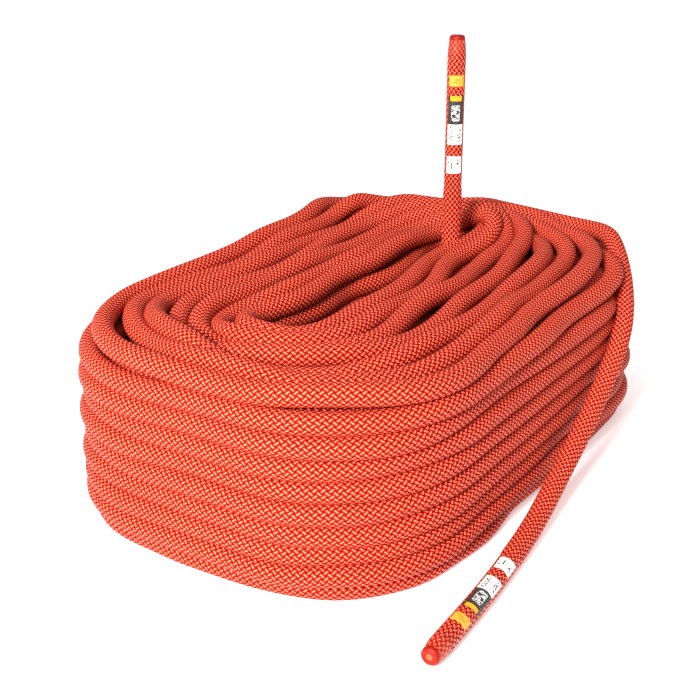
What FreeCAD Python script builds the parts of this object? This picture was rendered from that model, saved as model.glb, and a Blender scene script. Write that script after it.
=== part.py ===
import FreeCAD, Part
import Sketcher
import math
import os

"""Coil of 11 mm kernmantle rope, laid down as a tall racetrack-shaped stack of turns.

The coil stands on the plane Z = 0 with its long axis along X and its middle on the Z axis. One end of
the rope, the standing end, rises from the narrow opening in the middle. The other end, the trailing end,
leaves the top turn at the +X end, slopes down along the -Y side and lies on the plane Z = 0.
Each end shows how the rope is made: a braided sheath over parallel core strands, a marker tape between
them, a fused tip, four labels, and a clear shrink sleeve that holds the labels.
Lengths are in millimetres.
"""

os.makedirs("parts", exist_ok=True)
doc = FreeCAD.newDocument("rope")

SIZES = {
    "rope_radius": 5.5,
    "sleeved_radius": 5.2,
    "sheath_bore": 4.0,
    "core_radius": 3.9,
    "outer_strand_radius": 1.07,
    "inner_strand_radius": 0.83,
    "tape_width": 1.5,
    "tape_thickness": 0.1,
    "label_thickness": 0.1,
    "label_angle": 100.0,
    "sleeve_length": 76.0,
    "tip_length": 11.0,
    "tip_end_radius": 4.4,
    "tip_rounding": 1.2,
    "coil_length": 340.0,
    "coil_width": 212.0,
    "coil_height": 107.0,
    "corner_radius": 75.0,
    "shoulder_rounding": 12.0,
    "foot_rounding": 3.0,
    "opening_length": 168.0,
    "opening_width": 28.0,
    "opening_floor": 42.0,
    "standing_x": 73.0,
    "standing_y": -3.3,
    "standing_top": 220.5,
}

# The trailing end's route from the coil's top turn to the tip, along the rope's middle.
TRAILING_ROUTE = [
    (140, -78, 99),
    (110, -97.5, 86),
    (80, -111, 66),
    (50, -112.5, 45),
    (18, -114.5, 29.5),
    (-15, -116, 16),
    (-49, -119.5, 7.5),
    (-83, -123, 5.5),
    (-115, -126, 5.5),
    (-145, -127.5, 5.5),
    (-171, -128.5, 5.5),
]

# Each label: its name, the distance from the rope's tip to its near edge on the standing end and on the
# trailing end, and its length.
LABELS = [
    ("yellow", 21.5, 23.0, 6.0),
    ("black", 32.5, 34.5, 16.3),
    ("norm", 48.8, 50.8, 11.4),
    ("length", 67.0, 70.0, 9.8),
]
LABEL_FACING = 213.0  # the direction, about Z from +X, that the standing end's labels face
TRAILING_LABEL_FACING = 118.0  # the same about the trailing end, from its sideways axis
STRANDS_IN_RING = 8
ARC_SHARE = 0.45  # the part of a run that the arc at each of its ends takes

# Sketcher's names for a curve's own points, and for the sketch's origin.
START, END, MIDDLE, ORIGIN = 1, 2, 3, -1

sheet = doc.addObject("Spreadsheet::Sheet", "sizes")
for row, (alias, value) in enumerate(SIZES.items(), start=1):
    sheet.set(f"A{row}", alias)
    sheet.set(f"B{row}", str(value))
    sheet.setAlias(f"B{row}", alias)
doc.recompute()


def size(alias):
    """A size as it stands in the sheet."""
    return float(sheet.get(alias))


def bind(obj, **expressions):
    """Binds an object's sizes to the sheet: $name stands for the sheet's cell of that name."""
    for path, expression in expressions.items():
        obj.setExpression(path.replace("__", "."), expression.replace("$", "sizes."))


# ---------------------------------------------------------------- the coil


def origin_plane(body, role):
    """A body's own origin plane, such as XY_Plane."""
    return next(plane for plane in body.Origin.OriginFeatures if plane.Role == role)


def flat_sketch(body, name, height):
    """A sketch in a body, parallel to XY at the height that the expression gives."""
    sketch = body.newObject("Sketcher::SketchObject", name)
    sketch.AttachmentSupport = [(origin_plane(body, "XY_Plane"), "")]
    sketch.MapMode = "FlatFace"
    if height:
        bind(sketch, AttachmentOffset__Base__z=height)
    return sketch


def rounded_outline(sketch, length, width, radius):
    """A rounded rectangle about the sketch's origin, its three sizes bound to the sheet."""
    half_x, half_y, r = 100.0, 60.0, 20.0  # as first drawn, before the sheet sets them
    corners = [(1, 1, 0), (-1, 1, 90), (-1, -1, 180), (1, -1, 270)]
    arcs = []
    for sign_x, sign_y, start in corners:
        centre = FreeCAD.Vector(sign_x * (half_x - r), sign_y * (half_y - r), 0)
        circle = Part.Circle(centre, FreeCAD.Vector(0, 0, 1), r)
        arc = Part.ArcOfCircle(circle, math.radians(start), math.radians(start + 90))
        arcs.append(sketch.addGeometry(arc, False))
    lines = []
    for number, arc in enumerate(arcs):
        following = arcs[(number + 1) % 4]
        start = sketch.Geometry[arc].EndPoint
        end = sketch.Geometry[following].StartPoint
        lines.append(sketch.addGeometry(Part.LineSegment(start, end), False))
    for number, (arc, line) in enumerate(zip(arcs, lines)):
        following = arcs[(number + 1) % 4]
        sketch.addConstraint(Sketcher.Constraint("Tangent", arc, END, line, START))
        sketch.addConstraint(Sketcher.Constraint("Tangent", line, END, following, START))
        if number:
            sketch.addConstraint(Sketcher.Constraint("Equal", arcs[0], arc))
    for level, upright in (lines[:2], lines[2:]):
        sketch.addConstraint(Sketcher.Constraint("Horizontal", level))
        sketch.addConstraint(Sketcher.Constraint("Vertical", upright))
    across = ("Symmetric", arcs[0], MIDDLE, arcs[2], MIDDLE, ORIGIN, START)
    sketch.addConstraint(Sketcher.Constraint(*across))
    wide = sketch.addConstraint(
        Sketcher.Constraint("DistanceX", arcs[1], MIDDLE, arcs[0], MIDDLE, 2 * (half_x - r))
    )
    high = sketch.addConstraint(
        Sketcher.Constraint("DistanceY", arcs[2], MIDDLE, arcs[1], MIDDLE, 2 * (half_y - r))
    )
    round_by = sketch.addConstraint(Sketcher.Constraint("Radius", arcs[0], r))
    sketch.setExpression(f"Constraints[{wide}]", f"{length} - 2 * ({radius})")
    sketch.setExpression(f"Constraints[{high}]", f"{width} - 2 * ({radius})")
    sketch.setExpression(f"Constraints[{round_by}]", radius)


def slot_outline(sketch, length, width):
    """A slot about the sketch's origin with round ends, its two sizes bound to the sheet."""
    half, r = 60.0, 12.0  # as first drawn, before the sheet sets them
    up = FreeCAD.Vector(0, 0, 1)
    ends = []
    for x, start in ((half, -90), (-half, 90)):
        circle = Part.Circle(FreeCAD.Vector(x, 0, 0), up, r)
        arc = Part.ArcOfCircle(circle, math.radians(start), math.radians(start + 180))
        ends.append(sketch.addGeometry(arc, False))
    sides = []
    for first, second in (ends, ends[::-1]):
        start = sketch.Geometry[first].EndPoint
        end = sketch.Geometry[second].StartPoint
        sides.append(sketch.addGeometry(Part.LineSegment(start, end), False))
    for number in (0, 1):
        this, other = ends[number], ends[1 - number]
        sketch.addConstraint(Sketcher.Constraint("Tangent", this, END, sides[number], START))
        sketch.addConstraint(Sketcher.Constraint("Tangent", sides[number], END, other, START))
    sketch.addConstraint(Sketcher.Constraint("Horizontal", sides[0]))
    across = ("Symmetric", ends[0], MIDDLE, ends[1], MIDDLE, ORIGIN, START)
    sketch.addConstraint(Sketcher.Constraint(*across))
    long = sketch.addConstraint(
        Sketcher.Constraint("DistanceX", ends[1], MIDDLE, ends[0], MIDDLE, 2 * half)
    )
    round_by = sketch.addConstraint(Sketcher.Constraint("Radius", ends[0], r))
    sketch.setExpression(f"Constraints[{long}]", f"{length} - {width}")
    sketch.setExpression(f"Constraints[{round_by}]", f"{width} / 2")


def edges_at(shape, height, beyond):
    """The names of the edges that lie level at a height and further from the Z axis than beyond."""
    names = []
    for number, edge in enumerate(shape.Edges, start=1):
        box = edge.BoundBox
        middle = edge.CenterOfMass
        level = abs(box.ZMin - height) < 1e-3 and abs(box.ZMax - height) < 1e-3
        if level and math.hypot(middle.x, middle.y) > beyond:
            names.append(f"Edge{number}")
    return names


def make_coil_body():
    """The coil's outer shape: a racetrack block with a narrow blind opening in its top."""
    body = doc.addObject("PartDesign::Body", "coil_block")
    outline = flat_sketch(body, "coil_outline", "")
    rounded_outline(outline, "sizes.coil_length", "sizes.coil_width", "sizes.corner_radius")
    block = body.newObject("PartDesign::Pad", "coil_pad")
    block.Profile = outline
    bind(block, Length="$coil_height")
    doc.recompute()
    whole = block.Shape.Volume

    mouth = flat_sketch(body, "opening_outline", "$coil_height")
    slot_outline(mouth, "sizes.opening_length", "sizes.opening_width")
    opening = body.newObject("PartDesign::Pocket", "opening")
    opening.Profile = mouth
    bind(opening, Length="$coil_height - $opening_floor")
    doc.recompute()
    if not opening.Shape.Volume < whole:
        raise RuntimeError("the opening cuts nothing")

    outside = size("opening_width")
    foot = body.newObject("PartDesign::Fillet", "foot_rounding")
    foot.Base = (opening, edges_at(opening.Shape, 0.0, outside))
    bind(foot, Radius="$foot_rounding")
    doc.recompute()
    top = size("coil_height")
    shoulder = body.newObject("PartDesign::Fillet", "shoulder_rounding")
    half_width = size("coil_width") / 2
    shoulder.Base = (foot, edges_at(foot.Shape, top, half_width - 1.0))
    bind(shoulder, Radius="$shoulder_rounding")
    body.Tip = shoulder
    doc.recompute()
    return body


# ---------------------------------------------------------------- the standing end, straight up


def cylinder(name, radius, low, high):
    """A round bar on the standing end's axis between two heights."""
    bar = doc.addObject("Part::Cylinder", name)
    bind(bar, Radius=radius, Height=f"({high}) - ({low})")
    bind(bar, Placement__Base__x="$standing_x", Placement__Base__y="$standing_y")
    bind(bar, Placement__Base__z=low)
    return bar


def cut(name, base, tool):
    """A boolean cut, with both of its operands kept in the document."""
    result = doc.addObject("Part::Cut", name)
    result.Base = base
    result.Tool = tool
    return result


def compound(name, members):
    """Several separate solids of one kind as one object."""
    group = doc.addObject("Part::Compound", name)
    group.Links = members
    return group


def make_standing_sheath():
    """The braided sheath: full size below the sleeve, drawn in by a little under it."""
    sleeve_foot = "$standing_top - $tip_length - $sleeve_length"
    full = cylinder("standing_sheath_full", "$rope_radius", "$opening_floor", sleeve_foot)
    thin = cylinder("standing_sheath_thin", "$sleeved_radius", sleeve_foot, "$standing_top - $tip_length")
    whole = doc.addObject("Part::Fuse", "standing_sheath_solid")
    whole.Base = full
    whole.Tool = thin
    bore = cylinder("standing_sheath_bore", "$sheath_bore", "$opening_floor", "$standing_top - $tip_length")
    return cut("standing_sheath", whole, bore)


def strand_places():
    """Each core strand's twist, S or Z, radius and place across the core: a ring round a pair."""
    ring = size("outer_strand_radius")
    middle = size("inner_strand_radius")
    places = []
    for number in range(STRANDS_IN_RING):
        angle = 2 * math.pi * number / STRANDS_IN_RING
        reach = size("core_radius") - ring
        places.append(("sz"[number % 2], ring, reach * math.cos(angle), reach * math.sin(angle)))
    reach = middle + size("tape_thickness")
    places.append(("s", middle, 0.0, reach))
    places.append(("z", middle, 0.0, -reach))
    return places


def make_standing_strands(twist):
    """The core's strands of one twist, as straight round bars."""
    bars = []
    for number, (kind, radius, across, along) in enumerate(strand_places()):
        if kind == twist:
            name = f"standing_{twist}_strand_{number}"
            bar = cylinder(name, str(radius), "$opening_floor", "$standing_top - $tip_length")
            bind(bar, Placement__Base__x=f"$standing_x + {across}")
            bind(bar, Placement__Base__y=f"$standing_y + {along}")
            bars.append(bar)
    return compound(f"standing_core_{twist}_strands", bars)


def make_standing_tape():
    """The marker tape between the two middle strands."""
    tape = doc.addObject("Part::Box", "standing_marker_tape")
    bind(tape, Length="$tape_width", Width="$tape_thickness")
    bind(tape, Height="$standing_top - $tip_length - $opening_floor")
    bind(tape, Placement__Base__x="$standing_x - $tape_width / 2")
    bind(tape, Placement__Base__y="$standing_y - $tape_thickness / 2")
    bind(tape, Placement__Base__z="$opening_floor")
    return tape


def tip_profile():
    """The fused tip's half outline from its foot up the outside to the top, about the rope's axis."""
    length, end = size("tip_length"), size("tip_end_radius")
    foot, rounding = size("sleeved_radius"), size("tip_rounding")
    inset = rounding * (1 - math.sqrt(0.5))  # of the rounding's middle from the sharp corner
    corner = FreeCAD.Vector(end - inset, 0, length - inset)
    points = [FreeCAD.Vector(0, 0, 0), FreeCAD.Vector(foot, 0, 0)]
    points += [FreeCAD.Vector(end, 0, length - rounding), corner]
    points += [FreeCAD.Vector(end - rounding, 0, length), FreeCAD.Vector(0, 0, length)]
    axis_foot, base, side, corner, rim, axis_top = points
    edges = [Part.LineSegment(axis_foot, base), Part.LineSegment(base, side)]
    edges += [Part.Arc(side, corner, rim), Part.LineSegment(rim, axis_top)]
    edges += [Part.LineSegment(axis_top, axis_foot)]
    return Part.Wire([edge.toShape() for edge in edges])


def tip_solid():
    """The rope's melted end: sheath and core run together into one blunt, slightly tapered plug."""
    face = Part.Face(tip_profile())
    return face.revolve(FreeCAD.Vector(0, 0, 0), FreeCAD.Vector(0, 0, 1), 360)


def make_standing_tip():
    tip = doc.addObject("Part::Feature", "standing_fused_tip")
    tip.Shape = tip_solid()
    top = size("standing_top") - size("tip_length")
    tip.Placement.Base = FreeCAD.Vector(size("standing_x"), size("standing_y"), top)
    return tip


def make_standing_sleeve():
    """The clear shrink sleeve: a thin tube over the labels."""
    low = "$standing_top - $tip_length - $sleeve_length"
    high = "$standing_top - $tip_length"
    outer = cylinder("standing_sleeve_outer", "$rope_radius", low, high)
    inner = cylinder("standing_sleeve_inner", "$sleeved_radius + $label_thickness", low, high)
    return cut("standing_shrink_sleeve", outer, inner)


def make_standing_label(name, distance, length):
    """A label: a thin patch on the sheath, round a part of its circumference."""
    low = f"$standing_top - {distance + length}"
    high = f"$standing_top - {distance}"
    outer = cylinder(f"standing_{name}_label_outer", "$sleeved_radius + $label_thickness", low, high)
    inner = cylinder(f"standing_{name}_label_inner", "$sleeved_radius", low, high)
    bind(outer, Angle="$label_angle")
    turn = FreeCAD.Rotation(FreeCAD.Vector(0, 0, 1), LABEL_FACING - size("label_angle") / 2)
    outer.Placement.Rotation = turn
    bind(outer, Placement__Base__x="$standing_x", Placement__Base__y="$standing_y")
    bind(outer, Placement__Base__z=low)
    return cut(f"standing_{name}_label", outer, inner)


# ---------------------------------------------------------------- the trailing end, along its route


def vectors(points):
    return [FreeCAD.Vector(*point) for point in points]


def rounded_path(points):
    """Straight runs joined by tangent arcs, as a list of edges. Prints the arcs' radii."""
    points = vectors(points)
    edges = []
    start = points[0]
    radii = []
    for before, corner, after in zip(points, points[1:], points[2:]):
        back = before - corner
        ahead = after - corner
        shorter = min(back.Length, ahead.Length)
        reach = ARC_SHARE * shorter
        half_turn = (math.pi - back.getAngle(ahead)) / 2
        radius = reach / math.tan(half_turn)
        radii.append(round(radius))
        back.normalize()
        ahead.normalize()
        first = corner + back * reach
        last = corner + ahead * reach
        inward = back + ahead
        inward.normalize()
        middle = corner + inward * (radius / math.cos(half_turn) - radius)
        edges.append(Part.LineSegment(start, first).toShape())
        edges.append(Part.Arc(first, middle, last).toShape())
        start = last
    edges.append(Part.LineSegment(start, points[-1]).toShape())
    print("trailing end arc radii, mm:", radii)
    return edges


def stretch(edges, low, high):
    """The part of a path between two distances along it, as one wire."""
    kept = []
    passed = 0.0
    for edge in edges:
        length = edge.Length
        first = max(low - passed, 0.0)
        last = min(high - passed, length)
        if last - first > 1e-6:
            whole = first < 1e-9 and last > length - 1e-9
            bounds = (edge.getParameterByLength(first), edge.getParameterByLength(last))
            kept.append(edge if whole else edge.Curve.toShape(*bounds))
        passed += length
    return Part.Wire(kept)


def path_frame(wire):
    """A wire's start, its direction there, and the level direction across it."""
    first = wire.OrderedEdges[0]
    start = first.valueAt(first.FirstParameter)
    along = first.tangentAt(first.FirstParameter)
    across = along.cross(FreeCAD.Vector(0, 0, 1))
    across.normalize()
    return start, along, across


def place_section(section, wire):
    """Moves a section drawn on XY, its X axis sideways, to stand square across a wire's start."""
    start, along, across = path_frame(wire)
    upward = along.cross(across) * -1
    section = section.copy()
    section.Placement = FreeCAD.Placement(
        start, FreeCAD.Rotation(across, upward, across.cross(upward), "ZXY")
    )
    return section


def swept(section, wire):
    """A solid that a closed section makes along a wire."""
    return wire.makePipeShell([place_section(section, wire)], True, False)


def circle(radius, across=0.0, up=0.0):
    centre = FreeCAD.Vector(across, up, 0)
    return Part.Wire([Part.Circle(centre, FreeCAD.Vector(0, 0, 1), radius).toShape()])


def tube(wire, outer, inner):
    return swept(circle(outer), wire).cut(swept(circle(inner), wire))


def patch_section(radius, thickness, facing, angle):
    """A thin arc-shaped section for a label, centred on the facing direction in degrees."""
    low = math.radians(facing - angle / 2)
    high = math.radians(facing + angle / 2)
    up = FreeCAD.Vector(0, 0, 1)
    zero = FreeCAD.Vector(0, 0, 0)
    inner = Part.ArcOfCircle(Part.Circle(zero, up, radius), low, high)
    outer = Part.ArcOfCircle(Part.Circle(zero, up, radius + thickness), low, high)
    sides = [Part.LineSegment(inner.StartPoint, outer.StartPoint)]
    sides.append(Part.LineSegment(inner.EndPoint, outer.EndPoint))
    return Part.Wire(Part.__sortEdges__([edge.toShape() for edge in (inner, outer, *sides)]))


def feature(name, shape):
    """A document object that holds a shape made with Part's own functions."""
    obj = doc.addObject("Part::Feature", name)
    obj.Shape = shape
    return obj


def check_volume(name, shape, section, wire):
    """A swept solid holds its section times its length, within 2 per cent."""
    expected = section * wire.Length
    if abs(shape.Volume - expected) > 0.02 * expected:
        raise RuntimeError(f"{name}: volume {shape.Volume:.0f}, expected {expected:.0f}")


def make_trailing_end(edges):
    """The trailing end's pieces, and the tube of rope that the coil's block has to leave room for."""
    total = sum(edge.Length for edge in edges)
    tip_foot = total - size("tip_length")
    sleeve_foot = tip_foot - size("sleeve_length")
    inside = stretch(edges, 0, tip_foot)
    open_part = stretch(edges, 0, sleeve_foot)
    sleeved = stretch(edges, sleeve_foot, tip_foot)
    rope, thin, bore = size("rope_radius"), size("sleeved_radius"), size("sheath_bore")
    label_top = thin + size("label_thickness")
    room = swept(circle(rope), open_part)
    check_volume("trailing end", room, math.pi * rope**2, open_part)

    made = []
    sheath = tube(open_part, rope, bore).fuse(tube(sleeved, thin, bore))
    made.append(feature("trailing_sheath", sheath.removeSplitter()))
    for twist in "sz":
        bars = [
            swept(circle(radius, across, up), inside)
            for kind, radius, across, up in strand_places()
            if kind == twist
        ]
        made.append(feature(f"trailing_core_{twist}_strands", Part.makeCompound(bars)))
    half, thick = size("tape_width") / 2, size("tape_thickness") / 2
    corners = [(-half, -thick, 0), (half, -thick, 0), (half, thick, 0), (-half, thick, 0), (-half, -thick, 0)]
    tape = Part.makePolygon(vectors(corners))
    made.append(feature("trailing_marker_tape", swept(tape, inside)))
    made.append(feature("trailing_shrink_sleeve", tube(sleeved, rope, label_top)))
    for name, _, distance, length in LABELS:
        spot = stretch(edges, total - distance - length, total - distance)
        section = patch_section(thin, size("label_thickness"), TRAILING_LABEL_FACING, size("label_angle"))
        made.append(feature(f"trailing_{name}_label", swept(section, spot)))

    last = stretch(edges, tip_foot, total)
    start, along, _ = path_frame(last)
    tip = feature("trailing_fused_tip", tip_solid())
    tip.Placement = FreeCAD.Placement(start, FreeCAD.Rotation(FreeCAD.Vector(0, 0, 1), along))
    made.append(tip)
    return made, room


# ---------------------------------------------------------------- the whole rope

trailing_edges = rounded_path(TRAILING_ROUTE)
nodes, trailing_room = make_trailing_end(trailing_edges)

coil_body = make_coil_body()
room = feature("trailing_room", trailing_room)
coil = cut("rope_coil", coil_body, room)
nodes.append(coil)

nodes.append(make_standing_sheath())
nodes += [make_standing_strands(twist) for twist in "sz"]
nodes.append(make_standing_tape())
nodes.append(make_standing_tip())
nodes.append(make_standing_sleeve())
for label_name, standing_distance, _, label_length in LABELS:
    nodes.append(make_standing_label(label_name, standing_distance, label_length))

doc.recompute()
for obj in doc.Objects:
    if "Invalid" in obj.State or "Error" in obj.State:
        raise RuntimeError(f"{obj.Name} is {obj.State}")
for node in nodes:
    shape = node.Shape
    if shape.isNull() or not shape.isValid() or not shape.Solids:
        raise RuntimeError(f"{node.Label} has no valid solid")
    print(f"{node.Label}: {len(shape.Solids)} solids, {shape.Volume:.0f} mm3")
    shape.exportStep(f"parts/{node.Label}.step")
print("trailing end length, mm:", round(sum(edge.Length for edge in trailing_edges)))
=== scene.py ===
"""Looks of the coiled rope: one rope laid in a tall oval coil, with its two labelled ends free.

The rope's whole centreline is one NURBS spline: the standing end, eighty-six turns that a small
contact solver settles against each other, and the trailing end. Every tube follows it.
"""

import itertools
import math

import bpy
import numpy as np
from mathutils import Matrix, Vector


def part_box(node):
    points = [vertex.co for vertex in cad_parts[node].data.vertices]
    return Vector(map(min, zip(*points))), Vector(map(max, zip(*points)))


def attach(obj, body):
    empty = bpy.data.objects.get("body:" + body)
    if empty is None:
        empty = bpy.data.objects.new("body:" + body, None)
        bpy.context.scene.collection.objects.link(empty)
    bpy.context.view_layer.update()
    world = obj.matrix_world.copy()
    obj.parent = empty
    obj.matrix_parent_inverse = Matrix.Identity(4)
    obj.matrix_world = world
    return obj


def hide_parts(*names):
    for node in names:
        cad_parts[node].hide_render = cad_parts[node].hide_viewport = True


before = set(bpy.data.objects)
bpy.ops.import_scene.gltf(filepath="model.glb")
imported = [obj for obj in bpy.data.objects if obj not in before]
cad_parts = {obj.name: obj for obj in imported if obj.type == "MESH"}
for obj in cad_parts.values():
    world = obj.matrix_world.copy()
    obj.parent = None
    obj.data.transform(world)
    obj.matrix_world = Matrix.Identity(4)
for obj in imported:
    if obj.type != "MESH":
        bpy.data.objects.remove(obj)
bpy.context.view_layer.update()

MM = 0.001

# ---------------------------------------------------------------- sizes, in metres
ROPE_RADIUS = 5.5 * MM
SLEEVED_RADIUS = 5.2 * MM
LABEL_RADIUS = 5.3 * MM
SLEEVE_RADIUS = 5.5 * MM
TIP_END_RADIUS = 4.4 * MM
TIP_LENGTH = 11 * MM
TIP_ROLL = 1.6 * MM        # radius of the tip's rolled edge
TIP_HOLLOW = 0.35 * MM     # depth of its hollow face
TIP_LUMPS = 0.12 * MM
SLEEVE_LENGTH = 76 * MM

coil_low, coil_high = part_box("rope_coil")
HALF_LONG = (coil_high.x - coil_low.x) / 2 - ROPE_RADIUS
HALF_WIDE = (coil_high.y - coil_low.y) / 2 - ROPE_RADIUS
CORNER = 75 * MM - ROPE_RADIUS
LAYERS = 10
LAYER_STEP = (coil_high.z - coil_low.z - 2 * ROPE_RADIUS) / (LAYERS - 1)

# For a layer: its rings of rope, its innermost ring's reach east, reach west and half width, and
# how far its outermost ring lies inside the coil's outline.
LOWER_LAYERS = (9, 0.088, 0.080, 0.016, 0.0)
OTHER_LAYERS = {
    0: (9, 0.088, 0.080, 0.016, 1.5 * MM),
    7: (8, 0.099, 0.092, 0.019, 0.0),
    8: (8, 0.108, 0.100, 0.020, 1.5 * MM),
    9: (7, 0.1165, 0.1075, 0.0205, 3.5 * MM),
}
TOP_LAYER = LAYERS - 1
CORNER_SHRINK = 0.35       # how much a ring's corner radius loses for each metre further in

# The standing end from its tip down into the hole, and the trailing end from the coil to its tip.
STANDING_X, STANDING_Y, STANDING_TOP = 0.073, -0.0033, 0.2205
STANDING_FOOT = [(0.073, -0.0033, 0.030), (0.072, -0.005, 0.018), (0.062, -0.0105, 0.008),
                 (0.042, -0.0155, 0.0055)]
WAY_OUT = (0.1570, -0.0555, 0.1015)
TRAILING_ROUTE = [(0.140, -0.078, 0.099), (0.110, -0.0975, 0.086), (0.080, -0.111, 0.066),
                  (0.050, -0.1125, 0.045), (0.018, -0.1145, 0.0295), (-0.015, -0.116, 0.016),
                  (-0.049, -0.1195, 0.0075), (-0.083, -0.123, 0.0055),
                  (-0.115, -0.126, 0.0055), (-0.145, -0.1275, 0.0055),
                  (-0.171, -0.1285, 0.0055)]

# Along the turns, all in turns: where the coil begins, how far past its last whole turn it goes,
# how long the rope takes to cross back to the hole, and how far past the +X end it gets there.
FIRST_PHASE = 0.21
LAST_PART = 0.045
CROSS_TURNS = 0.27
CROSS_END = 0.08
TOP_JOG = 0.20             # of a turn past the +X end, where a top turn steps outwards

NODE_STEP = 6.5 * MM       # between the solver's nodes
CONTACT = 10.5 * MM        # between the centrelines of turns that touch
OUTLINE_SLACK = 0.5 * MM   # how far the outer turns may bulge past the coil's outline


# ---------------------------------------------------------------- the coil's start shape
def layer_shape(layer):
    return OTHER_LAYERS.get(layer, LOWER_LAYERS)


def rings_in(layer):
    """How many rings of rope a layer has: the hole is wider in the top three layers."""
    return layer_shape(layer)[0]


def ring_shape(layer, ring):
    """(east reach, west reach, half width, height) of one turn."""
    rings, inner_east, inner_west, inner_wide, inset = layer_shape(layer)
    share = ring / (rings - 1)
    set_back = inset * (1 - share)
    east = HALF_LONG + (inner_east - HALF_LONG) * share - set_back
    west = HALF_LONG + (inner_west - HALF_LONG) * share - set_back
    wide = HALF_WIDE + (inner_wide - HALF_WIDE) * share - set_back
    return east, west, wide, ROPE_RADIUS + layer * LAYER_STEP


def winding_order():
    """(layer, ring) of each turn: one layer is wound outwards, the next inwards.

    The rope crosses back to the hole before the top layer, so that layer is wound outwards too.
    """
    order = []
    for layer in range(LAYERS):
        rings = list(range(rings_in(layer)))
        inwards = layer % 2 == 1 and layer != TOP_LAYER
        order += [(layer, ring) for ring in (rings if inwards else rings[::-1])]
    return order


ORDER = winding_order()
TURNS = len(ORDER)
FIRST_TOP = TURNS - rings_in(TOP_LAYER)


def oval(east, west, wide, phase):
    """Points on a rounded oval, clockwise from its east end; phase is in turns."""
    quarter = np.floor(phase * 4).astype(int) % 4
    share = phase * 4 - np.floor(phase * 4)
    share = np.where(quarter % 2 == 1, 1 - share, share)
    reach = np.where((quarter == 0) | (quarter == 3), east, west)
    inset = HALF_WIDE - wide
    corner = np.minimum(wide, np.maximum(CORNER - CORNER_SHRINK * inset, 0))
    end, bend, side = wide - corner, corner * math.pi / 2, reach - corner
    at = share * (end + bend + side)
    turned = np.clip((at - end) / corner, 0, math.pi / 2)
    x = side + corner * np.cos(turned) - np.clip(at - end - bend, 0, None)
    y = np.clip(at, 0, end) + corner * np.sin(turned)
    x = np.where((quarter == 1) | (quarter == 2), -x, x)
    y = np.where((quarter == 0) | (quarter == 1), -y, y)
    return x, y


def smooth(t):
    t = np.clip(t, 0, 1)
    return t * t * (3 - 2 * t)


def hump(distance, reach):
    """1 at no distance, and falling away to 0 within about twice the reach."""
    return np.exp(-(distance / reach) ** 2)


def spaced(points, step):
    """The polyline again with its points a step apart."""
    points = np.asarray(points, float)
    gaps = np.linalg.norm(np.diff(points[:, :3], axis=0), axis=1)
    along = np.concatenate([[0], np.cumsum(gaps)])
    at = np.linspace(0, along[-1], max(2, round(along[-1] / step) + 1))
    return np.stack([np.interp(at, along, column) for column in points.T], axis=1)


def wound(phase, dice):
    """(east, west, half width, height) along the coil, stepping from each turn to the next."""
    shapes = np.array([ring_shape(*turn) for turn in ORDER])
    arrival = np.array(ring_shape(TOP_LAYER, rings_in(TOP_LAYER)))
    value = np.repeat(shapes[:1], len(phase), axis=0)
    for turn in range(1, TURNS):
        jog_at, jog_long = turn + dice.normal(0.0, 0.05), dice.uniform(0.16, 0.30)
        before = shapes[turn - 1]
        if turn == FIRST_TOP:
            # Up first, then across to the hole on top of the layer below.
            cross = smooth((phase - turn - CROSS_END) / CROSS_TURNS + 1)[:, None]
            climb = smooth((phase - turn - CROSS_END + CROSS_TURNS) / 0.12 + 1)
            value[:, :3] += cross * (arrival - before)[:3]
            value[:, 3] += climb * (arrival - before)[3]
            before = arrival
        if turn >= FIRST_TOP:
            # The top turns step outwards past the corner where the trailing end leaves.
            jog_at, jog_long = turn + TOP_JOG + dice.normal(0.0, 0.015), 0.22
        share = smooth((phase - jog_at) / jog_long + 0.5)
        value += share[:, None] * (shapes[turn] - before)
    return value.T


def raise_over_crossing(phase, x, y, height):
    """Lifts the top turns where they pass over the rope that crosses back to the hole."""
    since_top = phase - FIRST_TOP - CROSS_END
    crossing = (since_top > -CROSS_TURNS - 0.04) & (since_top < -0.02)
    under = np.stack([x, y], axis=1)[crossing][::6]
    top = since_top > 0.1
    reach = np.hypot(x[top, None] - under[:, 0], y[top, None] - under[:, 1]).min(1)
    height[top] += 0.65 * CONTACT * hump(reach, 16 * MM)


def waves_along(phase, dice):
    """Slow waves along the rope, sideways and up, so no two turns run quite the same way."""
    along = phase * 0.65
    waves = np.zeros((2, len(phase)))
    for row in range(2):
        for length in (0.11, 0.17, 0.29):
            waves[row] += np.sin(2 * math.pi * (along / length + dice.uniform()) +
                                 3 * np.sin(phase * dice.uniform(0.5, 1.5)))
    return waves


def inset_for_trailing_end(phase, x, y, height):
    """How far in each point lies, to leave the trailing end its place outside the turns."""
    wrapped = (phase + 0.5) % 1 - 0.5
    turns_left = TURNS - phase
    # The top turns where the trailing end leaves, and the last two at the far corner too.
    leaving = hump(wrapped - 0.06, 0.10) * 8 * MM
    near = np.where((phase > FIRST_TOP - 0.3) & (turns_left > 0.3), leaving, 0)
    for back, much in ((1, 5 * MM), (2, 3 * MM)):
        near += hump(back - turns_left - 0.62, 0.14) * much
    # The outer turns that the trailing end runs down over.
    route = spaced([WAY_OUT] + TRAILING_ROUTE[:4], NODE_STEP)
    apart = np.stack([x, y, height], axis=1)[:, None, :] - route[None, :, :]
    apart = np.linalg.norm(apart, axis=2).min(1)
    return near + np.where(turns_left > 0.3, hump(apart, 9.5 * MM) * 12 * MM, 0)


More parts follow.
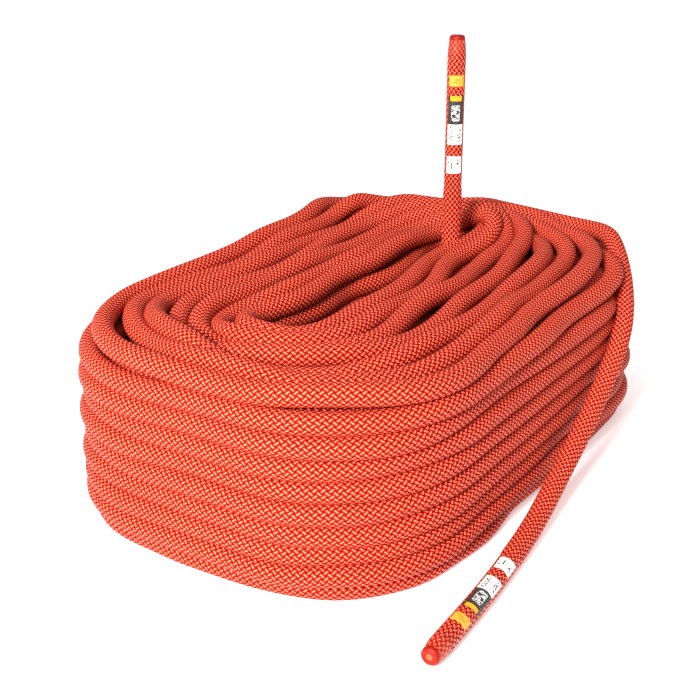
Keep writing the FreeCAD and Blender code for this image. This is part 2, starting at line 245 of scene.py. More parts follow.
def start_line():
    """The coil as wound, before it settles: foot of the standing end, turns, way out."""
    dice = np.random.default_rng(11)
    last_phase = TURNS + LAST_PART
    phase = np.arange(FIRST_PHASE, last_phase, 1 / 360)
    east, west, wide, height = wound(phase, dice)
    x, y = oval(east, west, wide, phase % 1.0)
    raise_over_crossing(phase, x, y, height)
    waves = waves_along(phase, dice)
    # Looser towards the top, and not at all where the coil ends.
    loose = (0.6 + 1.5 * smooth((height - 0.05) / 0.05)) * MM
    loose *= smooth((last_phase - phase) / 0.3)
    outwards = np.stack([x / HALF_LONG, y / HALF_WIDE], axis=1)
    outwards /= np.linalg.norm(outwards, axis=1)[:, None] + 1e-9
    near = inset_for_trailing_end(phase, x, y, height)
    x, y = x - outwards[:, 0] * near, y - outwards[:, 1] * near
    x = x + outwards[:, 0] * waves[0] * loose
    y = y + outwards[:, 1] * waves[0] * loose
    z = height + waves[1] * loose * 0.6
    turns = spaced(np.column_stack([x, y, z, phase]), NODE_STEP)
    foot = spaced(STANDING_FOOT, NODE_STEP)[:-1]
    way_out = spaced([tuple(turns[-1, :3]), WAY_OUT] + TRAILING_ROUTE[:1], NODE_STEP)[1:]
    turn_of = np.concatenate([np.zeros(len(foot)), turns[:, 3],
                              np.full(len(way_out), float(TURNS))])
    return np.vstack([foot, turns[:, :3], way_out]), turn_of


# ---------------------------------------------------------------- the contact solver
SAG = 0.05 * MM            # down, each round
RECALL = 0.012             # share of the way back to its start place, each round
PUSH = 1.25                # of the overlap, for a node with one contact
EVEN_OUT = 0.35            # of the stretch between two nodes, each round
STIFFNESS = 0.25           # share of the way to the line through its neighbours, each round


def close_pairs(nodes, reach):
    """Index pairs of nodes within reach of each other that aren't neighbours on the rope."""
    cell = np.floor(nodes / reach).astype(int)
    cell -= cell.min(0) - 1
    size = cell.max(0) + 2
    key = (cell[:, 0] * size[1] + cell[:, 1]) * size[2] + cell[:, 2]
    order = np.argsort(key, kind="stable")
    sorted_key = key[order]
    found = []
    for dx, dy, dz in itertools.product((-1, 0, 1), repeat=3):
        wanted = key + (dx * size[1] + dy) * size[2] + dz
        low = np.searchsorted(sorted_key, wanted, "left")
        high = np.searchsorted(sorted_key, wanted, "right")
        for extra in range(int((high - low).max())):
            i = np.nonzero(low + extra < high)[0]
            j = order[low[i] + extra]
            far = np.abs(i - j) > 4
            i, j = i[far], j[far]
            near = ((nodes[i] - nodes[j]) ** 2).sum(1) < reach * reach
            found.append(np.stack([i[near], j[near]]))
    return np.concatenate(found, axis=1)


def kept_inside(flat):
    """Plan positions with those outside the coil's outline moved back onto it."""
    reach = np.array([HALF_LONG - CORNER, HALF_WIDE - CORNER])
    past = np.abs(flat) - reach
    over = np.clip(past, 0, None)
    distance = np.linalg.norm(over, axis=1)
    out = np.clip(distance - CORNER - OUTLINE_SLACK, 0, None)
    back = over / (distance[:, None] + 1e-9) * out[:, None]
    return flat - np.sign(flat) * back


def settle(start, pinned, rounds=150):
    """Moves overlapping turns apart and lets them sag together, and keeps the rope's length."""
    nodes = start.copy()
    gap = np.linalg.norm(np.diff(start, axis=0), axis=1)
    free = (~pinned)[:, None]
    count = len(nodes)
    for turn in range(rounds):
        if turn % 10 == 0:
            i, j = close_pairs(nodes, CONTACT * 1.45)
        tangent = np.gradient(nodes, axis=0)
        tangent /= np.linalg.norm(tangent, axis=1)[:, None] + 1e-12
        across = nodes[i] - nodes[j]
        lead = (across * tangent[j]).sum(1)
        across -= lead[:, None] * tangent[j]
        distance = np.linalg.norm(across, axis=1) + 1e-9
        touching = (distance < CONTACT) & (np.abs(lead) < NODE_STEP * 0.75)
        a = i[touching]
        push = across[touching] * ((CONTACT - distance[touching]) * 0.5 /
                                   distance[touching])[:, None]
        hits = np.maximum(np.bincount(a, minlength=count), 1)
        move = np.stack([np.bincount(a, push[:, k], minlength=count) for k in range(3)], axis=1)
        move *= (PUSH / np.sqrt(hits))[:, None]
        move[:, 2] -= SAG
        move += RECALL * (start - nodes)
        nodes += np.where(free, move, 0)
        # An even rope: no stretch between nodes, and no kink sharper than its neighbours'.
        step = np.diff(nodes, axis=0)
        length = np.linalg.norm(step, axis=1)
        fix = step * (EVEN_OUT * (1 - gap / length))[:, None]
        nodes[:-1] += np.where(free[:-1], fix, 0)
        nodes[1:] -= np.where(free[1:], fix, 0)
        middle = (nodes[:-4] * -1 + nodes[1:-3] * 4 + nodes[3:-1] * 4 - nodes[4:]) / 6
        nodes[2:-2] += np.where(free[2:-2], STIFFNESS * (middle - nodes[2:-2]), 0)
        nodes[:, 2] = np.maximum(nodes[:, 2], ROPE_RADIUS)
        nodes[:, :2] = np.where(free, kept_inside(nodes[:, :2]), nodes[:, :2])
    return nodes


# ---------------------------------------------------------------- the one spline
def nurbs_line(name, points, resolution):
    """A NURBS spline through control points, and the points that it evaluates to."""
    data = bpy.data.curves.new(name, "CURVE")
    data.dimensions = "3D"
    data.resolution_u = resolution
    spline = data.splines.new("NURBS")
    spline.points.add(len(points) - 1)
    spline.points.foreach_set("co", np.hstack([points, np.ones((len(points), 1))]).ravel())
    spline.order_u = 3
    spline.use_endpoint_u = True
    holder = bpy.data.objects.new(name, data)
    mesh = bpy.data.meshes.new_from_object(holder)
    line = np.zeros(len(mesh.vertices) * 3, np.float32)
    mesh.vertices.foreach_get("co", line)
    bpy.data.meshes.remove(mesh)
    bpy.data.objects.remove(holder)
    bpy.data.curves.remove(data)
    return line.reshape(-1, 3).astype(float)


coil_start, coil_phase = start_line()
# The solver holds the coil's first and last nodes and the whole trailing end where they are.
trailing_nodes = spaced(TRAILING_ROUTE, NODE_STEP)[1:]
held = np.zeros(len(coil_start) + len(trailing_nodes), bool)
held[:3] = True
held[len(coil_start) - 3:] = True
whole_start = np.vstack([coil_start, trailing_nodes])
coil_nodes = settle(whole_start, held)[:len(coil_start)]
standing = [(STANDING_X, STANDING_Y, z) for z in np.arange(STANDING_TOP, 0.034, -0.012)]
control = np.vstack([standing, coil_nodes[:1], coil_nodes[2:-1:2], TRAILING_ROUTE])
rope_line = nurbs_line("rope_route", control, 4)


# ---------------------------------------------------------------- meshes along the line
def transported(line):
    """Two unit vectors across the line at each point, which never twist about it."""
    tangent = np.gradient(line, axis=0)
    tangent /= np.linalg.norm(tangent, axis=1)[:, None]
    side = np.zeros_like(line)
    now = Vector((0, -1, 0))
    for i, t in enumerate(tangent):
        t = Vector(t)
        now = (now - t * now.dot(t)).normalized()
        side[i] = now
    return tangent, side, np.cross(tangent, side)


tangent, side, other = transported(rope_line)
along = np.concatenate([[0], np.cumsum(np.linalg.norm(np.diff(rope_line, axis=0), axis=1))])
ROPE_LENGTH = float(along[-1])


def station(at):
    """Centres, tangents and the two cross vectors at distances along the rope."""
    parts = []
    for values in (rope_line, tangent, side, other):
        parts.append(np.stack([np.interp(at, along, values[:, k]) for k in range(3)], axis=1))
    for vectors in parts[1:]:
        vectors /= np.linalg.norm(vectors, axis=1)[:, None]
    return parts


def loft(name, sections, uv_name, u, v, closed=False, cap=False):
    """A mesh through rings of points, each a closed loop, with u and v at every point."""
    rings, sides = sections.shape[:2]
    last = rings if closed else rings - 1
    i, j = np.meshgrid(np.arange(last), np.arange(sides), indexing="ij")
    i, j = i.ravel(), j.ravel()
    i_next, j_next = (i + 1) % rings, (j + 1) % sides
    faces = np.stack([i * sides + j, i * sides + j_next, i_next * sides + j_next,
                      i_next * sides + j], axis=1)
    u_high = np.where(j_next == 0, u[i, j] + (u[i, j] - u[i, j - 1]), u[i, j_next])
    uv = np.stack([np.stack([u[i, j], u_high, u_high, u[i, j]], axis=1),
                   np.stack([v[i], v[i], v[i_next], v[i_next]], axis=1)], axis=2)
    loops, starts = faces.ravel(), np.arange(len(faces)) * 4
    if cap:
        ends = [np.arange(sides)[::-1], (rings - 1) * sides + np.arange(sides)]
        starts = np.append(starts, [len(loops), len(loops) + sides])
        loops = np.concatenate([loops] + ends)
        uv = np.vstack([uv.reshape(-1, 2), np.zeros((2 * sides, 2))])
    mesh = bpy.data.meshes.new(name)
    mesh.vertices.add(rings * sides)
    mesh.vertices.foreach_set("co", sections.ravel())
    mesh.loops.add(len(loops))
    mesh.loops.foreach_set("vertex_index", loops)
    mesh.polygons.add(len(starts))
    mesh.polygons.foreach_set("loop_start", starts)
    mesh.polygons.foreach_set("use_smooth", np.ones(len(starts), bool))
    mesh.uv_layers.new(name=uv_name).data.foreach_set("uv", uv.ravel())
    mesh.update(calc_edges=True)
    mesh.validate()
    piece = bpy.data.objects.new(name, mesh)
    bpy.context.scene.collection.objects.link(piece)
    return piece


def circles(at, radius, sides):
    """Rings round the rope at distances along it; radius is per ring, or per ring and side."""
    centre, _, across, over = station(at)
    angle = np.arange(sides) * 2 * math.pi / sides
    radius = np.asarray(radius, float)
    radius = radius[:, None] if radius.ndim == 1 else radius
    out = (np.cos(angle)[None, :, None] * across[:, None, :] +
           np.sin(angle)[None, :, None] * over[:, None, :])
    return centre[:, None, :] + radius[:, :, None] * out


def around(rings, sides):
    """u at every point of a tube: its share of the way round."""
    return np.repeat((np.arange(sides) / sides)[None, :], rings, axis=0)


# ---------------------------------------------------------------- the braid
CARRIERS = 12              # yarns each way round
BRAID_PITCH = 3.4 * MM     # along the rope, between one yarn and the next the same way
RELIEF = 0.36 * MM


def braid_height(u, v):
    """How high the braid's top yarn stands, 0 to 1, at u round and v along the rope."""
    a, b = CARRIERS * u - v / BRAID_PITCH, CARRIERS * u + v / BRAID_PITCH
    fa, fb = a - np.floor(a) - 0.5, b - np.floor(b) - 0.5
    other_way = (np.floor(a) + np.floor(b)) % 2 == 1
    across, ahead = np.where(other_way, fb, fa), np.where(other_way, fa, fb)
    return np.sqrt(np.clip(1 - (2 * across) ** 2, 0, 1)) * (1 - 0.5 * (2 * ahead) ** 2)


class Recipe:
    """A material's node tree, built in short calls."""

    def __init__(self, name):
        self.material = bpy.data.materials.new(name)
        self.material.use_nodes = True
        self.tree = self.material.node_tree
        self.tree.nodes.clear()

    def add(self, kind, inputs=None, **settings):
        node = self.tree.nodes.new(kind)
        for key, value in settings.items():
            setattr(node, key, value)
        for key, value in (inputs or {}).items():
            if isinstance(value, bpy.types.NodeSocket):
                self.tree.links.new(value, node.inputs[key])
            else:
                node.inputs[key].default_value = value
        return node

    def math(self, operation, *values, clamp=False):
        return self.add("ShaderNodeMath", dict(enumerate(values)), operation=operation,
                        use_clamp=clamp).outputs[0]

    def mix(self, share, a, b):
        return self.add("ShaderNodeMix", {0: share, 6: a, 7: b}, data_type="RGBA").outputs[2]

    def between(self, value, low, high, to_low=0.0, to_high=1.0):
        return self.add("ShaderNodeMapRange", {0: value, 1: low, 2: high, 3: to_low,
                                               4: to_high},
                        interpolation_type="SMOOTHSTEP").outputs[0]

    def noise(self, scale, detail=2.0, where=None):
        place = where or self.add("ShaderNodeTexCoord").outputs["Object"]
        return self.add("ShaderNodeTexNoise", {"Vector": place, "Scale": scale,
                                               "Detail": detail}).outputs[0]

    def uv(self, name):
        place = self.add("ShaderNodeUVMap", uv_map=name).outputs[0]
        split = self.add("ShaderNodeSeparateXYZ", {0: place})
        return split.outputs[0], split.outputs[1]

    def finish(self, **inputs):
        """Ends the tree in one Principled shader with these inputs."""
        shader = self.add("ShaderNodeBsdfPrincipled",
                          {key.replace("_", " "): value for key, value in inputs.items()})
        self.add("ShaderNodeOutputMaterial", {0: shader.outputs[0]})
        return self.material

    def bump(self, height, distance, strength=1.0):
        return self.add("ShaderNodeBump", {"Height": height, "Distance": distance,
                                           "Strength": strength}).outputs[0]


def braid_nodes(recipe):
    """Sockets for the braid: height, distance across the top yarn, along it, which way."""
    u, v = recipe.uv("braid")
    rounds = recipe.math("MULTIPLY", u, CARRIERS)
    steps = recipe.math("DIVIDE", v, BRAID_PITCH)
    a, b = recipe.math("SUBTRACT", rounds, steps), recipe.math("ADD", rounds, steps)
    fa = recipe.math("SUBTRACT", recipe.math("FRACT", a), 0.5)
    fb = recipe.math("SUBTRACT", recipe.math("FRACT", b), 0.5)
    cells = recipe.math("ADD", recipe.math("FLOOR", a), recipe.math("FLOOR", b))
    way = recipe.math("FLOORED_MODULO", cells, 2.0)
    swap = recipe.math("SUBTRACT", fb, fa)
    across = recipe.math("MULTIPLY_ADD", swap, way, fa)
    ahead = recipe.math("SUBTRACT", recipe.math("ADD", fa, fb), across)
    across_2 = recipe.math("POWER", recipe.math("MULTIPLY", across, 2.0), 2.0)
    ahead_2 = recipe.math("POWER", recipe.math("MULTIPLY", ahead, 2.0), 2.0)
    crown = recipe.math("SQRT", recipe.math("SUBTRACT", 1.0, across_2, clamp=True))
    dip = recipe.math("MULTIPLY_ADD", ahead_2, -0.5, 1.0)
    height = recipe.math("MULTIPLY", crown, dip)
    return height, recipe.math("ABSOLUTE", across), recipe.math("ABSOLUTE", ahead), across


# Colours of the braid. The pale crown colour is a painted highlight, and the near black is
# painted shade in the grooves between the yarns. Deep red is painted shade on the yarns' low
# flanks, and it also darkens random patches.
DEEP_RED = (0.19, 0.0015, 0.0005, 1)
ORANGE_RED = (0.40, 0.005, 0.001, 1)
PAINTED_CROWN_HIGHLIGHT = (0.85, 0.18, 0.10, 1)
PAINTED_GROOVE_SHADE = (0.018, 0.0004, 0.0004, 1)
GLOSS_TINT = (1.0, 0.42, 0.26, 1)


def sheath_material():
    """Braided nylon: red, with a pale glossy streak painted on the crown of each yarn as a
    highlight, and painted shade on the yarns' low flanks and in the grooves between them.
    """
    recipe = Recipe("braided_sheath")
    height, across, ahead, signed = braid_nodes(recipe)
    fray = recipe.noise(900.0)
    edge = recipe.math("MULTIPLY_ADD", fray, 0.06, 0.065)
    # Where the painted highlight lies: a pale streak along the middle of each yarn's crown, which
    # is also glossier there.
    on_crown = recipe.between(across, edge, recipe.math("ADD", edge, 0.09), 1.0, 0.0)
    in_length = recipe.between(ahead, 0.36, 0.50, 1.0, 0.0)
    crown_highlight = recipe.math("MULTIPLY", on_crown, in_length)
    patches = recipe.noise(28.0, 3.0)
    # Painted shade: deep red low on each yarn's flanks and near black in the grooves between
    # yarns, then random patches of deep red.
    body = recipe.mix(recipe.between(height, 0.25, 0.85), DEEP_RED, ORANGE_RED)
    body = recipe.mix(recipe.between(height, 0.50, 0.18), body, PAINTED_GROOVE_SHADE)
    body = recipe.mix(recipe.math("MULTIPLY", patches, 0.25), body, DEEP_RED)
    colour = recipe.mix(crown_highlight, body, PAINTED_CROWN_HIGHLIGHT)
    fibre = recipe.math("SINE", recipe.math("MULTIPLY", signed, 2 * math.pi * 7))
    relief = recipe.math("MULTIPLY_ADD", fibre, 0.035, height)
    relief = recipe.math("MULTIPLY_ADD", fray, 0.06, relief)
    rough = recipe.mix(crown_highlight, (0.80, 0.80, 0.80, 1), (0.27, 0.27, 0.27, 1))
    rough = recipe.math("MULTIPLY_ADD", patches, 0.08, rough)
    return recipe.finish(Base_Color=colour, Roughness=rough, Specular_IOR_Level=0.24,
                         Specular_Tint=GLOSS_TINT,
                         Normal=recipe.bump(relief, 0.35 * MM))


def fused_material(name, dark, light, melt):
    """Melted nylon, shinier and darker: the braid's painted crown highlights and painted groove
    shade still show where melt is less than 1.
    """
    recipe = Recipe(name)
    height, across, ahead, _ = braid_nodes(recipe)
    # A painted highlight streak on each yarn's crown, fading out as melt nears 1.
    crown_highlight = recipe.math("MULTIPLY", recipe.between(across, 0.10, 0.22, 1.0, 0.0),
                         recipe.between(ahead, 0.34, 0.50, 1.0, 0.0))
    clouds = recipe.noise(420.0, 4.0)
    body = recipe.mix(clouds, dark, light)
    # Painted shade in the grooves between yarns, fading out as melt nears 1.
    low = recipe.between(height, 0.50, 0.18, 0.0, 1 - melt)
    body = recipe.mix(low, body, PAINTED_GROOVE_SHADE)
    colour = recipe.mix(recipe.math("MULTIPLY", crown_highlight, 1 - melt), body, PAINTED_CROWN_HIGHLIGHT)
    relief = recipe.math("ADD", recipe.math("MULTIPLY", height, 1 - melt),
                         recipe.math("MULTIPLY", clouds, 0.8))
    rough = recipe.math("MULTIPLY_ADD", clouds, 0.25, 0.26)
    return recipe.finish(Base_Color=colour, Roughness=rough, Specular_IOR_Level=0.35,
                         Specular_Tint=GLOSS_TINT, Normal=recipe.bump(relief, 0.35 * MM))


def print_marks(recipe, u, v, grid, span, seed, lines, least):
    """Small marks in lines, like printing too fine to read; 1 on a mark.

    The grid is (columns, rows) of marks, the span is (from, to) of the label's length, and a
    mark is there where its random value is over the least.
    """
    columns, rows = grid
    low, high = span
    column = recipe.math("FLOOR", recipe.math("MULTIPLY", u, columns))
    row = recipe.math("FLOOR", recipe.math("MULTIPLY", v, rows))
    cell = recipe.add("ShaderNodeCombineXYZ", {0: column, 1: row, 2: seed}).outputs[0]
    value = recipe.add("ShaderNodeTexWhiteNoise", {0: cell},
                       noise_dimensions="3D").outputs[0]
    in_band = recipe.math("COMPARE", recipe.math("FRACT", recipe.math("MULTIPLY", u, lines)),
                          0.5, 0.26)
    inside = recipe.math("COMPARE", v, (low + high) / 2, (high - low) / 2)
    within = recipe.math("COMPARE", u, 0.5, 0.40)
    mark = recipe.math("GREATER_THAN", value, least)
    for gate in (in_band, inside, within):
        mark = recipe.math("MULTIPLY", mark, gate)
    return mark


def label_material(name, ground, ink, patch=None, **marks):
    """A printed film label under the sleeve; patch is (share of its length, colour)."""
    recipe = Recipe(name)
    u, v = recipe.uv("label")
    soil = recipe.noise(300.0, 3.0)
    colour = recipe.mix(recipe.math("MULTIPLY", soil, 0.14), ground, (0.45, 0.40, 0.36, 1))
    colour = recipe.mix(print_marks(recipe, u, v, **marks), colour, ink)
    if patch:
        share, tone = patch
        on_patch = recipe.math("MULTIPLY", recipe.math("COMPARE", v, share / 2 + 0.02,
                                                       share / 2),
                               recipe.math("COMPARE", u, 0.5, 0.36))
        colour = recipe.mix(on_patch, colour, tone)
    rough = recipe.math("MULTIPLY_ADD", soil, 0.2, 0.3)
    return recipe.finish(Base_Color=colour, Roughness=rough, Specular_IOR_Level=0.1,
                         Normal=recipe.bump(soil, 0.05 * MM))


def sleeve_material():
    """Clear shrink film: see-through, with a soft shine."""
    recipe = Recipe("clear_sleeve")
    ripple = recipe.noise(500.0, 2.0)
    normal = recipe.bump(ripple, 0.04 * MM)
    clear = recipe.add("ShaderNodeBsdfTransparent", {0: (0.99, 0.985, 0.98, 1)})
    shine = recipe.add("ShaderNodeBsdfGlossy", {"Color": (1, 1, 1, 1),
                                                "Roughness": 0.16, "Normal": normal})
    edge_on = recipe.add("ShaderNodeLayerWeight", {"Blend": 0.5}).outputs["Facing"]
    share = recipe.between(edge_on, 0.1, 1.0, 0.002, 0.02)
    both = recipe.add("ShaderNodeMixShader", {0: share, 1: clear.outputs[0],
                                              2: shine.outputs[0]})
    recipe.add("ShaderNodeOutputMaterial", {0: both.outputs[0]})
    return recipe.material


def core_material(name, colour, shade):
    """Twisted filament yarn inside the rope."""
    recipe = Recipe(name)
    fine = recipe.noise(1500.0, 3.0)
    tone = recipe.mix(fine, colour, shade)
    rough = recipe.math("MULTIPLY_ADD", fine, 0.2, 0.45)
    return recipe.finish(Base_Color=tone, Roughness=rough, Sheen_Weight=0.2,
                         Normal=recipe.bump(fine, 0.1 * MM))


braided = sheath_material()
fused_side = fused_material("fused_nylon", (0.20, 0.003, 0.002, 1), (0.40, 0.010, 0.005, 1), 0.3)
fused_rim = fused_material("fused_rim", (0.14, 0.002, 0.002, 1), (0.30, 0.008, 0.004, 1), 1.0)
fused_face = fused_material("fused_core", (0.26, 0.03, 0.012, 1), (0.42, 0.13, 0.045, 1), 1.0)
clear = sleeve_material()
WHITE = (0.86, 0.86, 0.83, 1)
BLACK = (0.005, 0.005, 0.005, 1)
YELLOW = (0.82, 0.30, 0.01, 1)
INK = (0.03, 0.035, 0.045, 1)
BROWN_INK = (0.30, 0.15, 0.01, 1)
GREY_INK = (0.6, 0.6, 0.6, 1)
LABEL_LOOKS = {
    "yellow_label": label_material(
        "yellow_label", YELLOW, BROWN_INK,
        grid=(11, 9), span=(0.34, 0.68), seed=3, lines=1.0, least=0.5),
    "black_label": label_material(
        "black_label", BLACK, GREY_INK, patch=(0.17, YELLOW),
        grid=(14, 34), span=(0.34, 0.88), seed=7, lines=1.0, least=0.55),
    "norm_label": label_material(
        "white_label", WHITE, INK,
        grid=(14, 26), span=(0.08, 0.92), seed=12, lines=2.0, least=0.5),
    "length_label": label_material(
        "white_length_label", WHITE, INK,
        grid=(10, 12), span=(0.2, 0.8), seed=5, lines=2.0, least=0.55),
}

# ---------------------------------------------------------------- the coil's stretches
SIDES = 20
STANDING_SPAN, TRAILING_SPAN = 0.190, 0.47  # of fine braid, from each tip
layer_ends = np.cumsum([rings_in(layer) for layer in range(LAYERS)])[:-1]
first = len(standing) + 1
cuts = [first + int(np.searchsorted(coil_phase[2:-1:2], end)) for end in layer_ends]
to_line = (len(rope_line) - 1) / (len(control) - 1)
cut_at = [along[round(cut * to_line)] for cut in cuts]
bounds_at = [STANDING_SPAN] + cut_at + [ROPE_LENGTH - TRAILING_SPAN]

for number, (low, high) in enumerate(zip(bounds_at, bounds_at[1:]), start=1):
    inside = (along > low + 1 * MM) & (along < high - 1 * MM)
    at = np.concatenate([[low], along[inside], [high]])
    piece = loft(f"rope_layer_{number:02d}", circles(at, np.full(len(at), ROPE_RADIUS), SIDES),
                 "braid", around(len(at), SIDES), at)
    piece.data.materials.append(braided)
    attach(piece, "root")
    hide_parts("rope_coil")
    centre = station(at)[0]


# ---------------------------------------------------------------- the two free ends
LABELS = {  # near edge from the tip on the standing end, on the trailing end, length
    "yellow_label": (21.5 * MM, 23.0 * MM, 6.0 * MM),
    "black_label": (32.5 * MM, 34.5 * MM, 16.3 * MM),
    "norm_label": (48.8 * MM, 50.8 * MM, 11.4 * MM),
    "length_label": (67.0 * MM, 70.0 * MM, 9.8 * MM),
}
LABEL_HALF_ANGLE = math.radians(50)
LABEL_ACROSS = 25          # points across a label's outer face, and as many across its inner one
FINE_SIDES, FINE_STEP = 96, 0.4 * MM


def place_of(end, from_tip):
    """Distances along the rope for distances from one end's tip."""
    return from_tip if end == "standing" else ROPE_LENGTH - from_tip


def add_part(piece, end, part, material):
    piece.data.materials.append(material)
    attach(piece, "root")
    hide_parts(f"{end}_{part}")
    return piece


def fine_sheath(end, span):
    """The braided sheath of a free end, its relief in the mesh, drawn in under the sleeve."""
    from_tip = np.arange(TIP_LENGTH, span + FINE_STEP, FINE_STEP)
    under = smooth((TIP_LENGTH + SLEEVE_LENGTH + 0.5 * MM - from_tip) / (1.5 * MM))
    radius = ROPE_RADIUS - (ROPE_RADIUS - SLEEVED_RADIUS) * under
    at = place_of(end, from_tip)
    u = around(len(at), FINE_SIDES)
    depth = RELIEF * smooth((span - from_tip) / (6 * MM))
    height = braid_height(u, at[:, None])
    rings = circles(at, radius[:, None] - depth[:, None] * (1 - height), FINE_SIDES)
    return add_part(loft(f"{end}_sheath_braid", rings, "braid", u, at), end, "sheath",
                    braided)


def tip(end):
    """The fused end: tapered, its edge rolled over onto a slightly hollow face."""
    side_in = np.arange(TIP_ROLL, TIP_LENGTH + 0.1 * MM, FINE_STEP)[::-1]
    taper = smooth((side_in - TIP_ROLL) / (TIP_LENGTH - TIP_ROLL)) ** 0.8
    side_radius = TIP_END_RADIUS + (SLEEVED_RADIUS - TIP_END_RADIUS) * taper
    roll = np.linspace(0, math.pi / 2, 7)[1:]
    roll_in = TIP_ROLL * (1 - np.sin(roll))
    roll_radius = TIP_END_RADIUS - TIP_ROLL * (1 - np.cos(roll))
    face = np.linspace(1, 0.02, 9)[1:]
    face_in = TIP_HOLLOW * (1 - face ** 2)
    from_tip = np.concatenate([side_in, roll_in, face_in])
    radius = np.concatenate([side_radius, roll_radius, roll_radius[-1] * face])
    at = place_of(end, from_tip)
    u = around(len(at), FINE_SIDES)
    dice = np.random.default_rng(5)
    lumps = sum(np.sin(2 * math.pi * (k * u + dice.uniform()) + from_tip[:, None] / MM * w)
                for k, w in ((2, 0.9), (3, 0.6), (5, 1.3))) / 3
    depth = RELIEF * np.clip(from_tip / TIP_LENGTH, 0.05, 1)
    inner = np.minimum(radius / TIP_END_RADIUS, 1)[:, None]
    rough_radius = (radius[:, None] - depth[:, None] * (1 - braid_height(u, at[:, None])) *
                    (from_tip > 0)[:, None] + TIP_LUMPS * lumps * inner)
    piece = loft(f"{end}_tip_melted", circles(at, rough_radius, FINE_SIDES), "braid", u, at,
                 cap=True)
    add_part(piece, end, "fused_tip", fused_side)
    slots = np.zeros(len(piece.data.polygons), np.int32)
    for number, look, first_ring in ((1, fused_rim, len(side_in) - 3),
                                     (2, fused_face, len(side_in) + len(roll) + 3)):
        piece.data.materials.append(look)
        slots[first_ring * FINE_SIDES:] = number
    piece.data.polygons.foreach_set("material_index", slots)
    return piece


def sleeve(end):
    """The clear film tube over the labels, with a wall."""
    span = np.arange(TIP_LENGTH, TIP_LENGTH + SLEEVE_LENGTH, 1.5 * MM)
    from_tip = np.concatenate([span, span[::-1]])
    radius = np.concatenate([np.full(len(span), SLEEVE_RADIUS),
                             np.full(len(span), SLEEVE_RADIUS - 0.1 * MM)])
    piece = loft(f"{end}_sleeve_film", circles(place_of(end, from_tip), radius, 48), "film",
                 around(len(from_tip), 48), from_tip, closed=True)
    return add_part(piece, end, "shrink_sleeve", clear)


def facing(end):
    """The way an end's labels face, from where the CAD's black label lies."""
    low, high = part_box(f"{end}_black_label")
    label = np.array((low + high) / 2)
    nearest = np.argmin(((rope_line - label) ** 2).sum(1))
    return label - rope_line[nearest]


def label(end, part, near, length):
    """A label bent round the rope, with its own thickness."""
    from_tip = np.linspace(near, near + length, 24)
    centre, ahead, _, _ = station(place_of(end, from_tip))
    toward = facing(end)
    middle = toward - ahead * (ahead @ toward)[:, None]
    middle /= np.linalg.norm(middle, axis=1)[:, None]
    beside = np.cross(ahead, middle)
    turn = np.linspace(-LABEL_HALF_ANGLE, LABEL_HALF_ANGLE, LABEL_ACROSS)
    turn = np.concatenate([turn, turn[::-1]])
    radius = np.repeat([LABEL_RADIUS + 0.05 * MM, LABEL_RADIUS - 0.15 * MM], LABEL_ACROSS)
    out = (np.cos(turn)[None, :, None] * middle[:, None, :] +
           np.sin(turn)[None, :, None] * beside[:, None, :])
    rings = centre[:, None, :] + radius[None, :, None] * out
    u = np.repeat((turn / LABEL_HALF_ANGLE / 2 + 0.5)[None, :], len(from_tip), axis=0)
    piece = loft(f"{end}_{part}_film", rings, "label", u, (from_tip - near) / length, cap=True)
    return add_part(piece, end, part, LABEL_LOOKS[part])


for end, span in (("standing", STANDING_SPAN), ("trailing", TRAILING_SPAN)):
    sheath = fine_sheath(end, span)
    extras = [tip(end), sleeve(end)]
    for part, (on_standing, on_trailing, length) in LABELS.items():
        near = on_standing if end == "standing" else on_trailing
        extras.append(label(end, part, near, length))
    extras += [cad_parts[f"{end}_{part}"]
               for part in ("core_s_strands", "core_z_strands", "marker_tape")]
    from_coil = np.arange(span, TIP_LENGTH, -2 * MM)
    centre = station(place_of(end, from_coil))[0]

# The core shows only where the rope is cut: pale strands and a coloured marker tape.
core_look = core_material("core_yarn", (0.80, 0.74, 0.62, 1), (0.62, 0.55, 0.44, 1))
tape_look = core_material("marker_tape", (0.08, 0.25, 0.55, 1), (0.05, 0.16, 0.40, 1))
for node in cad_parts.values():
    look = core_look if "core" in node.name else tape_look if "tape" in node.name else None
    if look:
        for slot in node.material_slots:
            slot.material = look

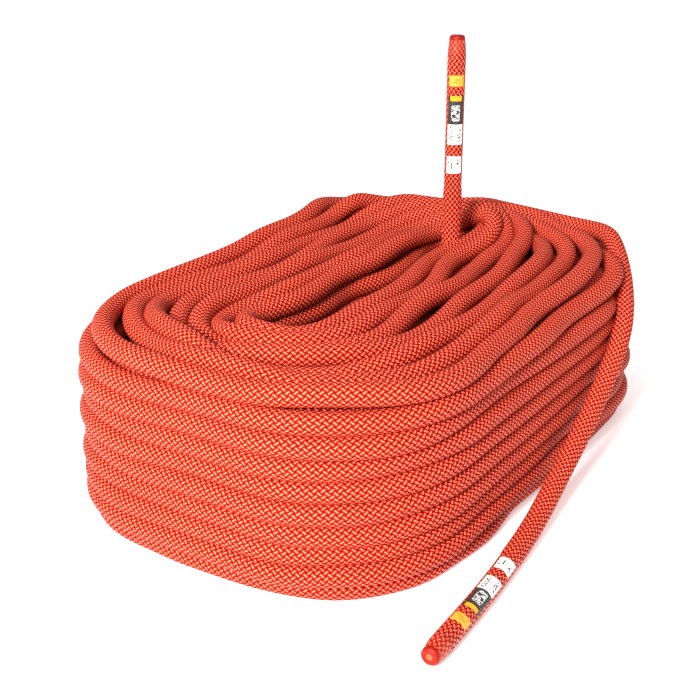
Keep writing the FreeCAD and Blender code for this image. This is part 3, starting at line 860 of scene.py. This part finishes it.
# ---------------------------------------------------------------- camera, light, floor
camera_data = bpy.data.cameras.new("camera")
camera_data.sensor_width = 36
camera_data.lens = 61.7
camera = bpy.data.objects.new("camera", camera_data)
bpy.context.scene.collection.objects.link(camera)
camera.location = (-0.5316, -0.3237, 0.2997)
looking = Vector((0.782, 0.506, -0.364))
camera.rotation_euler = looking.to_track_quat("-Z", "Y").to_euler()
bpy.context.scene.camera = camera


def area_light(name, place, target, size, power):
    data = bpy.data.lights.new(name, "AREA")
    data.size = size
    data.energy = power
    light = bpy.data.objects.new(name, data)
    light.location = place
    light.rotation_euler = (Vector(target) - Vector(place)).to_track_quat("-Z", "Y").to_euler()
    bpy.context.scene.collection.objects.link(light)
    return light


middle = (0, 0, 0.05)
area_light("key_light", (-1.12, -0.20, 0.62), middle, 0.26, 38)
area_light("fill_light", (0.9, -1.3, 0.7), middle, 1.2, 2)
sun_data = bpy.data.lights.new("overhead_light", "SUN")
sun_data.energy = 1.35
sun_data.angle = math.radians(60)
sun = bpy.data.objects.new("overhead_light", sun_data)
sun.rotation_euler = Vector((0.25, 0.1, -1.0)).to_track_quat("-Z", "Y").to_euler()
bpy.context.scene.collection.objects.link(sun)

world = bpy.data.worlds.new("studio")
world.use_nodes = True
world.node_tree.nodes["Background"].inputs["Color"].default_value = (1, 1, 1, 1)
world.node_tree.nodes["Background"].inputs["Strength"].default_value = 0.40
bpy.context.scene.world = world
bpy.context.scene.view_settings.view_transform = "Standard"

floor_mesh = bpy.data.meshes.new("floor")
floor_mesh.from_pydata([(-6, -6, 0), (6, -6, 0), (6, 6, 0), (-6, 6, 0)], [], [(0, 1, 2, 3)])
floor = bpy.data.objects.new("floor", floor_mesh)
bpy.context.scene.collection.objects.link(floor)
paper = Recipe("pale_floor")
grain = paper.noise(60.0)
floor_mesh.materials.append(paper.finish(
    Base_Color=paper.mix(grain, (0.92, 0.92, 0.92, 1), (0.95, 0.95, 0.95, 1)), Roughness=0.9,
    Emission_Color=(1, 1, 1, 1), Emission_Strength=0.34))
